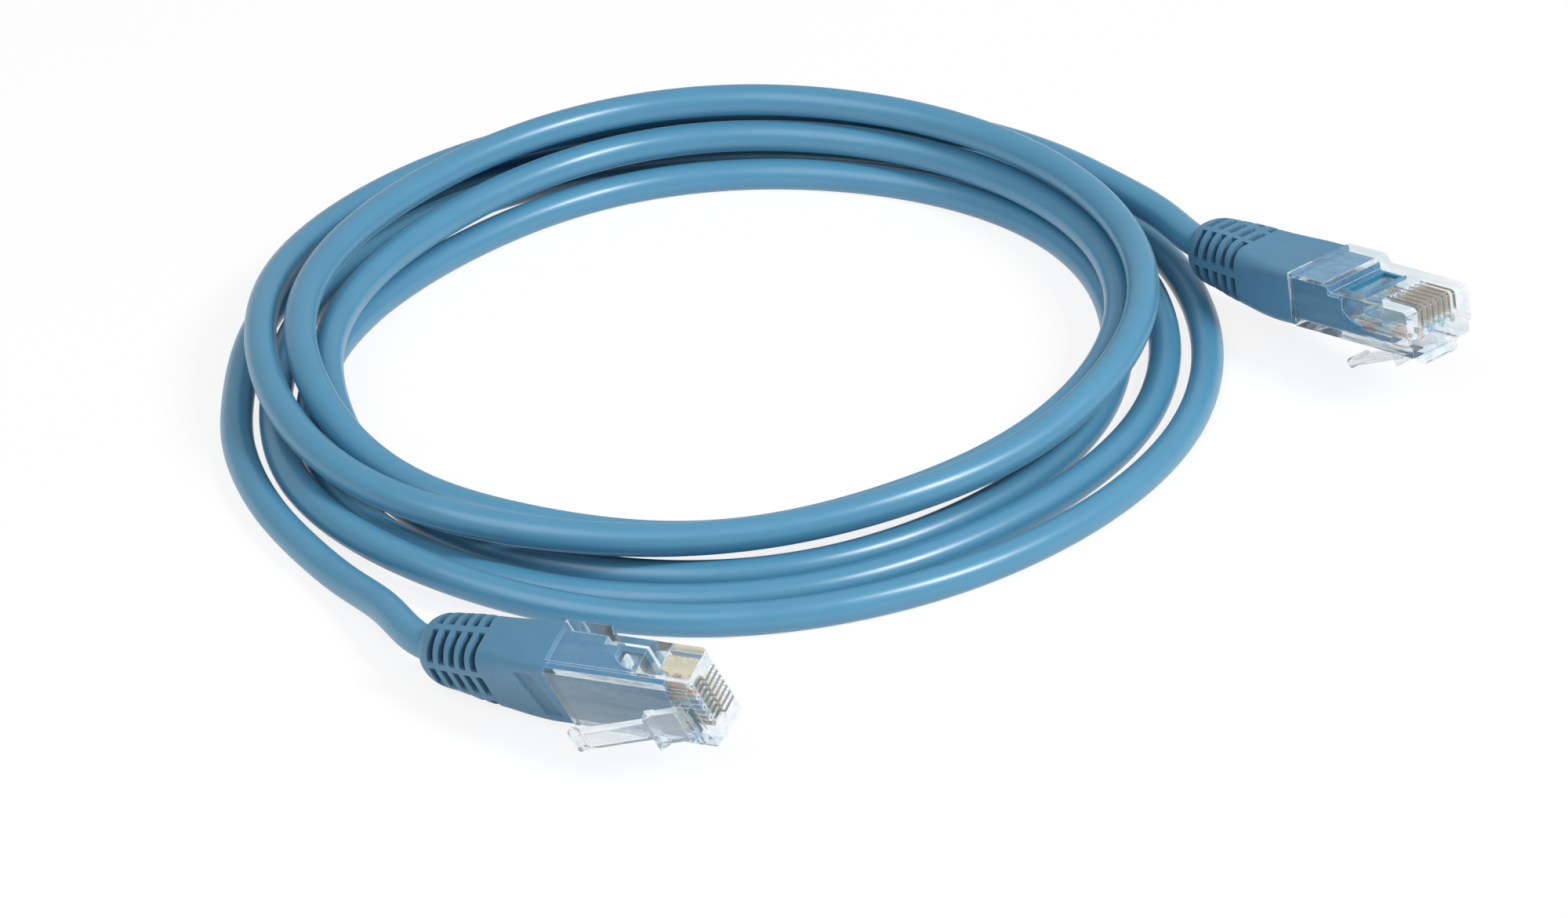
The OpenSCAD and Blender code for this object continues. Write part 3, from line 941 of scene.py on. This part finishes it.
@dataclass
class Boot:
    """Strain relief: the housing's section at its front, drawn in to a round grooved neck."""

    route: Route
    front: float = -21.45
    rear: float = -42.9
    axis_z: float = 4.9
    bore: float = 2.2
    # Wall round the bore at the rear, and how far in the bore's rear end lies
    lip: float = 0.35
    bore_in: float = 0.4
    # Way in of the front's inner rim, and how far it stands out
    chamfer: float = 0.12
    rim_proud: float = 0.024
    neck_r: float = 4.3
    # The rear's dome, and the share of the section's wall that it starts with
    dome_len: float = 3.2
    dome_start: float = 0.12
    grooves: int = 5
    groove_w: float = 1.0
    groove_pitch: float = 1.85
    groove_depth: float = 0.95
    groove_back: float = 2.4
    wall: float = 0.2
    web_w: float = 0.75
    webs: tuple = (0, 64, 116, 180, 244, 296)
    columns: int = 288
    # Rows over the dome, in each pitch of the grooves, and in front of the grooves
    row_counts: tuple = (12, 18, 56)
    # Where the close rows start before the grooves, how much later they end, gap to the next
    row_margins: tuple = (0.4, 0.2, 0.05)
    # A distance beyond the skin, and how often it is halved to find the skin
    beyond: float = 12.0
    halvings: int = 32
    # Stations along the boot: x, width, lowest and highest point, corner radius
    stations: tuple = (
        (-42.9, 8.9, 0.5, 9.1, 4.2),
        (-38.0, 9.6, 0.35, 9.0, 3.6),
        (-34.5, 10.2, 0.15, 8.7, 2.8),
        (-31.0, 10.9, 0.1, 8.2, 2.2),
        (-27.5, 11.5, 0.05, 7.85, 1.5),
        (-25.0, 11.68, 0.05, 7.75, 1.1),
        (-21.45, 11.68, 0.1, 7.75, 1.0),
    )
    # Most of a section's smaller side that a corner's radius takes
    most_round: float = 0.499
    # Bare panel sunk into the latch side: x at its rear and front edge, its two y, and slant
    panel: tuple = (-25.6, -23.1, -4.3, 4.0, 0.55)
    panel_depth: float = 0.25
    panel_slope: float = 0.14
    # Share of painted shade on the panel, and the sine of the angle below which the panel lies
    panel_painted_shade: float = 0.25
    panel_below: float = -0.5

    def rows(self) -> Array:
        """Places along the boot, close together where the grooves are.

        Returns:
            Rising x of each row.
        """
        over_dome, in_pitch, ahead = self.row_counts
        before, after, gap = self.row_margins
        first = self.rear + self.groove_back - before
        last = first + self.grooves * self.groove_pitch + after
        step = self.groove_pitch / in_pitch
        quarter = np.linspace(0, np.pi / 2, over_dome)
        dome = self.rear + self.dome_len * (1 - np.cos(quarter))
        dome = dome[dome < first - 0.5 * step]
        grooved = np.arange(first, last, step)
        return np.concatenate([dome, grooved, np.linspace(last + gap, self.front, ahead)])

    def angles(self) -> Array:
        """Angle of each column, from +Y toward +Z."""
        return np.linspace(0, 2 * np.pi, self.columns, endpoint=False)

    def section(self, x: Array) -> Array:
        """Distance from the cable's axis to the boot's skin.

        At each x the section is a rectangle with round corners. The ray at angle a leaves it
        where the box distance |max(q, 0)| + min(max(qy, qz), 0) - r is nought, which halving
        steps find for the whole grid at once.

        Args:
            x: Places along the boot.

        Returns:
            Radii, rows by columns.
        """
        a, at = self.angles(), np.array(self.stations)
        w, low, high, r = (self.eased_values(x, at[:, 0], at[:, k])[:, None] for k in range(1, 5))
        r = np.minimum(r, self.most_round * np.minimum(w, high - low))
        near, far = np.zeros((len(x), len(a))), np.full((len(x), len(a)), self.beyond)
        for _ in range(self.halvings):
            t = 0.5 * (near + far)
            qy = np.abs(t * np.cos(a)) - w / 2 + r
            qz = np.abs(self.axis_z + t * np.sin(a) - (low + high) / 2) - (high - low) / 2 + r
            outer = np.hypot(np.maximum(qy, 0), np.maximum(qz, 0))
            inside = outer + np.minimum(np.maximum(qy, qz), 0) - r < 0
            near, far = np.where(inside, t, near), np.where(inside, far, t)
        return near

    @staticmethod
    def eased_values(x: Array, stations: Array, values: Array) -> Array:
        """Values on a curve through the stations, cubic with the mean of the slopes.

        Args:
            x: Where the values are wanted.
            stations: Rising places of the stations.
            values: Their values.

        Returns:
            A value for each x.
        """
        slope = np.gradient(values, stations)
        k = np.clip(np.searchsorted(stations, x) - 1, 0, len(stations) - 2)
        h = stations[k + 1] - stations[k]
        t = np.clip((x - stations[k]) / h, 0, 1)
        a, b = values[k], values[k + 1]
        return (
            (2 * t**3 - 3 * t**2 + 1) * a
            + (t**3 - 2 * t**2 + t) * h * slope[k]
            + (3 * t**2 - 2 * t**3) * b
            + (t**3 - t**2) * h * slope[k + 1]
        )

    def groove_mask(self) -> Array:
        """1 in a groove, 0 on the skin, with a short slope between them.

        A groove is a ring of the boot between two x, less the webs that run along it.

        Returns:
            The mask, rows by columns.
        """
        x = self.rows() - (self.rear + self.groove_back)
        k = np.floor(x / self.groove_pitch)
        into = x - k * self.groove_pitch
        inside = (k >= 0) & (k < self.grooves)
        ring = smooth(into / self.wall) * smooth((self.groove_w - into) / self.wall) * inside
        degrees = np.degrees(self.angles())
        gap = np.min([np.abs((degrees - web + 180) % 360 - 180) for web in self.webs], axis=0)
        off = np.radians(gap) * self.neck_r - self.web_w / 2
        return ring[:, None] * smooth(off / self.wall)[None, :]

    def panel_mask(self, y: Array) -> Array:
        """1 on the sunk panel, 0 beside it, with a short slope between them.

        The panel lies between two y, and between two x that lean by the slant over its width.

        Args:
            y: Places across the boot, rows by columns.

        Returns:
            The mask, rows by columns.
        """
        rear_x, front_x, low_y, high_y, slant = self.panel
        u = self.rows()[:, None] - slant * (2 * y - low_y - high_y) / (high_y - low_y)
        inside = (np.sin(self.angles()) < self.panel_below).astype(float)[None, :]
        for way in (u - rear_x, front_x - u, y - low_y, high_y - y):
            inside = inside * smooth(way / self.panel_slope)
        return inside

    def skin(self) -> tuple[Array, Array]:
        """The boot's outer skin.

        The section's wall over the bore is drawn in by a quarter circle over the dome. The
        grooves are sunk into it toward the axis, and the panel upwards.

        Returns:
            Points of the plug's frame, rows by columns by 3, and the share of painted shade on each
            one.
        """
        x = self.rows()
        dome = np.clip((x - self.rear) / self.dome_len, 0, 1)
        drawn_in = np.sqrt(1 - (1 - dome) ** 2)[:, None]
        drawn_in = self.dome_start + (1 - self.dome_start) * drawn_in
        lip_r = self.bore + self.lip
        grooves = self.groove_mask()
        radius = lip_r + (self.section(x) - lip_r) * drawn_in - self.groove_depth * grooves
        points = self.round_axis(x, radius)
        panel = self.panel_mask(points[..., 1])
        points[..., 2] += self.panel_depth * panel
        # Painted shade: full in the grooves, a share of it on the sunk panel
        return points, np.maximum(grooves, self.panel_painted_shade * panel)

    def rims(self) -> Array:
        """The rings that close the skin: the front's inner rim and the two ends of the bore.

        Returns:
            Points of the plug's frame, 3 by columns by 3.
        """
        x = np.array([self.front + self.rim_proud, self.front, self.rear + self.bore_in])
        radius = np.full((3, self.columns), self.bore)
        radius[0] = self.section(x[:1])[0] - self.chamfer
        return self.round_axis(x, radius)

    def round_axis(self, x: Array, radius: Array) -> Array:
        """Points round the cable's axis: x, r cos a, and the axis's height + r sin a.

        Args:
            x: Places along the boot, rows.
            radius: Their radii, rows by columns.

        Returns:
            Points of the plug's frame, rows by columns by 3.
        """
        y, z = radius * np.cos(self.angles()), self.axis_z + radius * np.sin(self.angles())
        return np.stack([np.broadcast_to(x[:, None], y.shape), y, z], -1)

    def build(self, end: End, finishes: Finishes) -> bpy.types.Object:
        """Builds one boot as a closed skin with its bore.

        Args:
            end: The end of the cord that it is on.
            finishes: The materials.

        Returns:
            The boot.
        """
        skin, painted_shade = self.skin()
        rims = self.rims()
        grid = self.route.on_plug(end, np.concatenate([skin, rims]))
        name = f"plug_{end.name.lower()}_boot"
        boot = surface(name + "_skin", grid, ring=True)
        # The painted shade of each point, stored as depth for the boot's material
        depth = np.concatenate([painted_shade, np.zeros(rims.shape[:2])])
        layer = boot.data.attributes.new("depth", "FLOAT", "POINT")
        layer.data.foreach_set("value", depth.astype(np.float32).ravel())
        dress(boot, finishes.boot)
        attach(boot, "cord")
        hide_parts(name)
        return boot


@dataclass
class Wires:
    """The eight insulated wires of a plug, as round tubes along the routes in the plug."""

    route: Route
    diameter: float = 0.88
    pitch: float = 1.02
    row_z: float = 2.3
    row_front: float = -1.4
    # Where every second wire starts to climb, where it is up, and how far
    climb: tuple = (-13.8, -15.2, 1.496)
    bay_x: float = -20.2
    end_x: float = -24.0
    # Place of each wire among the seven round the bundle's middle, or -1 in the middle
    bundle: tuple = (2, 1, 3, 0, 4, -1, 5, 6)
    ring_places: int = 7
    # Radius of that ring in wire diameters
    ring_r: float = 1.32
    sides: int = 14
    step: float = 0.25
    ease: int = 2

    def path(self, i: int) -> Array:
        """Line of one wire: out of the row, up, and in to the bundle.

        Args:
            i: Number of the wire, from 0.

        Returns:
            Points of the plug's frame.
        """
        y = (i - 0.5 * (len(WIRE_ORDER) - 1)) * self.pitch
        start, top, lift = self.climb
        ring_r = 0.0 if self.bundle[i] < 0 else self.ring_r * self.diameter
        turn = np.radians(90 + self.bundle[i] * 360 / self.ring_places)
        bundled = (ring_r * np.cos(turn), self.route.mouth_z + ring_r * np.sin(turn))
        points = [
            (self.row_front, y, self.row_z),
            (start, y, self.row_z),
            (top, y, self.row_z + (lift if i % 2 else 0.0)),
            (self.bay_x, *bundled),
            (self.end_x, *bundled),
        ]
        return eased(evenly(np.array(points, float), self.step), self.ease)

    def build(self, end: End, finishes: Finishes) -> list[bpy.types.Object]:
        """Builds and dresses the wires of one plug.

        Args:
            end: The end of the cord.
            finishes: The materials.

        Returns:
            The eight wires.
        """
        pieces = []
        for i, (pair, striped) in enumerate(WIRE_ORDER):
            line = self.route.on_plug(end, self.path(i))
            name = f"plug_{end.name.lower()}_wire_{i + 1}"
            grid = tube(line, 0.5 * self.diameter * MM, self.sides)
            wire = surface(name + "_insulation", grid)
            dress(wire, finishes.wires[i])
            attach(wire, "cord")
            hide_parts(name)
            pieces.append(wire)
        return pieces


@dataclass
class Plug:
    """One moulded plug: clear housing and latch, blue core, bar, contacts, wires and boot."""

    end: End
    route: Route
    finishes: Finishes
    # Round on the moulded edges of the clear pieces: width, steps, and bend that gets one
    edge: float = 0.1
    edge_steps: int = 2
    edge_bend: float = 35.0
    # Where the walls between the contacts are: two x, way from the middle, and lowest z
    comb: tuple = (-6.5, 0.1, 4.2, 2.0)
    # How squarely such a wall faces along Y
    comb_square: float = 0.9

    def node(self, piece: str) -> str:
        """Name of one of the plug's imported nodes."""
        return f"plug_{self.end.name.lower()}_{piece}"

    def clear_piece(self, piece: str, body: str) -> bpy.types.Object:
        """A clear piece: the construction's own shape, joined, rounded and dressed.

        Args:
            piece: Name of the node, without the plug's.
            body: The body that it rides on.

        Returns:
            The new piece.
        """
        shell = merged_copy(self.node(piece), self.node(piece) + "_clear")
        places = np.empty(3 * len(shell.data.vertices), np.float32)
        shell.data.vertices.foreach_get("co", places)
        local = self.route.off_plug(self.end, places.reshape(-1, 3)).astype(np.float32)
        corners = np.empty(len(shell.data.loops), np.int32)
        shell.data.loops.foreach_get("vertex_index", corners)
        # On the corners of the faces, where the bevel carries it on to its new points
        layer = shell.data.attributes.new("plug", "FLOAT_VECTOR", "CORNER")
        layer.data.foreach_set("vector", local[corners].ravel())
        bevel = shell.modifiers.new("rounded_edges", "BEVEL")
        bevel.width, bevel.segments = self.edge * MM, self.edge_steps
        bevel.limit_method, bevel.angle_limit = "ANGLE", np.radians(self.edge_bend)
        # The rounded edges get the second material: painted highlights
        bevel.material = 1
        dress(shell, self.finishes.clear[piece], self.finishes.painted_edge_highlight, self.finishes.comb)
        self.paint_comb_sheen(shell.data)
        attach(shell, body)
        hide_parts(self.node(piece))
        return shell

    def paint_comb_sheen(self, mesh: bpy.types.Mesh) -> None:
        """Gives the walls between the contacts, which face along Y, the third material, whose milky
        white is a painted sheen.

        Args:
            mesh: Mesh of a clear piece. One without a comb stays as it is.
        """
        centres, normals = (np.empty(3 * len(mesh.polygons), np.float32) for _ in range(2))
        mesh.polygons.foreach_get("center", centres)
        mesh.polygons.foreach_get("normal", normals)
        x, y, z = self.route.off_plug(self.end, centres.reshape(-1, 3)).T / MM
        across = np.abs((normals.reshape(-1, 3) @ self.route.turn(self.end))[:, 1])
        low, high, side, floor = self.comb
        there = (x > low) & (x < high) & (np.abs(y) < side) & (z > floor)
        walls = there & (across > self.comb_square)
        mesh.polygons.foreach_set("material_index", np.where(walls, 2, 0))

    def build(self) -> list[bpy.types.Object]:
        """Builds what is new on the plug and dresses what is carried over.

        Returns:
            All the pieces of the plug that show.
        """
        pieces = [
            Boot(self.route).build(self.end, self.finishes),
            self.clear_piece("housing", "cord"),
            self.clear_piece("latch", f"latch_{self.end.name.lower()}"),
            *Wires(self.route).build(self.end, self.finishes),
        ]
        carried = {
            "inner_mould": self.finishes.core,
            "strain_bar": self.finishes.bar,
            "jacket_end": self.finishes.jacket,
            "conductors": self.finishes.copper,
        }
        for i in range(len(WIRE_ORDER)):
            carried[f"contact_{i + 1}"] = self.finishes.gold
        for piece, material in carried.items():
            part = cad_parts[self.node(piece)]
            dress(part, material)
            pieces.append(part)
        return pieces


# ---- studio


@dataclass
class Studio:
    """Pale floor, white surroundings, soft lamps and the camera."""

    coil_middle: tuple
    camera_at: tuple = (8.2, -897.6, 507.0)
    down: float = 29.96
    roll: float = -1.66
    lens: float = 180.0
    sensor: float = 36.0
    # Nearest and farthest that the camera sees
    sight: tuple = (10.0, 20000.0)
    # Strength of the surroundings as light, and share of white in gloss
    surround: float = 0.34
    gloss: float = 0.3
    floor_half: float = 3000.0
    floor_z: float = -0.02
    lamp_away: float = 900.0
    # Lamps: name, direction from the coil, width and height, and watts
    lamps: tuple = (
        ("key", (0.62, -0.28, 0.72), (280.0, 110.0), 5.5),
        ("fill", (-0.35, -0.5, 0.80), (700.0, 700.0), 3.4),
    )

    def turned(self, axes: tuple, at: Array) -> Matrix:
        """The place of a camera or lamp, which looks against its own Z.

        Args:
            axes: Directions of its X, Y and Z.
            at: Its point, from the coil's middle.

        Returns:
            The matrix.
        """
        place = np.eye(4)
        place[:3, :3] = np.stack(axes, 1)
        place[:3, 3] = (at + self.coil_middle) * MM
        return Matrix(place.tolist())

    def camera(self) -> None:
        """Sets the camera: it looks along +Y, tilted down and rolled a little."""
        e, r = np.radians(self.down), np.radians(self.roll)
        ahead = np.array([0.0, np.cos(e), -np.sin(e)])
        right = np.array([1.0, 0.0, 0.0])
        up = np.cross(right, ahead)
        right, up = np.cos(r) * right + np.sin(r) * up, np.cos(r) * up - np.sin(r) * right
        data = bpy.data.cameras.new("camera")
        data.lens, data.sensor_width = self.lens, self.sensor
        data.clip_start, data.clip_end = self.sight[0] * MM, self.sight[1] * MM
        camera = placed("camera", data)
        camera.matrix_world = self.turned((right, up, -ahead), np.array(self.camera_at))
        bpy.context.scene.camera = camera

    def lamp(self, name: str, towards: tuple, size: tuple, power: float) -> None:
        """Adds a soft lamp that faces the coil.

        Args:
            name: Name of the lamp.
            towards: Direction from the coil to the lamp.
            size: Width and height of the lamp, in millimetres.
            power: Power in watts.
        """
        data = bpy.data.lights.new(name, "AREA")
        data.shape, data.energy = "RECTANGLE", power
        data.size, data.size_y = size[0] * MM, size[1] * MM
        lamp = placed(name, data)
        # Its light already passes the clear plastic as straight shadow rays
        lamp.visible_transmission = False
        back = unit(np.array(towards, float))
        side = unit(np.cross([0.0, 1.0, 0.0], back))
        axes = (side, np.cross(back, side), back)
        lamp.matrix_world = self.turned(axes, self.lamp_away * back)

    def world(self) -> None:
        """White surroundings: full white to the eye, dimmer in gloss and as light."""
        world = bpy.data.worlds.new("surround")
        bpy.context.scene.world = world
        world.use_nodes = True
        tree = world.node_tree
        light = tree.nodes["Background"]
        give(light.inputs["Color"], PURE_WHITE)
        give(light.inputs["Strength"], self.surround)
        seen = add(tree, "ShaderNodeBackground", {"Color": PURE_WHITE, "Strength": 1.0})
        inputs = {0: seen_by_eye(tree, self.gloss), 1: light.outputs[0], 2: seen.outputs[0]}
        mix = add(tree, "ShaderNodeMixShader", inputs)
        give(tree.nodes["World Output"].inputs["Surface"], mix.outputs[0])

    def floor(self) -> None:
        """A wide pale floor at the height on which the cable rests."""
        half = self.floor_half * MM
        corners = [(-half, -half), (half, -half), (half, half), (-half, half)]
        mesh = bpy.data.meshes.new("floor")
        mesh.from_pydata([(x, y, self.floor_z * MM) for x, y in corners], [], [(0, 1, 2, 3)])
        floor = placed("floor", mesh)
        dress(floor, FloorFinish().material())

    def build(self) -> None:
        """Sets the whole studio."""
        self.camera()
        self.world()
        self.floor()
        for lamp in self.lamps:
            self.lamp(*lamp)
        bpy.context.scene.view_settings.view_transform = "Standard"


def main() -> None:
    """Builds the studio, the cord and both plugs."""
    logging.basicConfig(level=logging.INFO, format="%(message)s")
    route = Route()
    finishes = Finishes()
    Studio(route.middle).build()
    cord = Cord(route)
    jacket = cord.build(finishes)
    plugs = {end: Plug(end, route, finishes).build() for end in End}
    for piece in (jacket, *plugs[End.A], *plugs[End.B]):
        LOG.info("%s: %d faces", piece.name, len(piece.data.polygons))
    cord.declare()
    bpy.context.view_layer.update()
    LOG.info("boxes written")


if __name__ == "__main__":
    main()
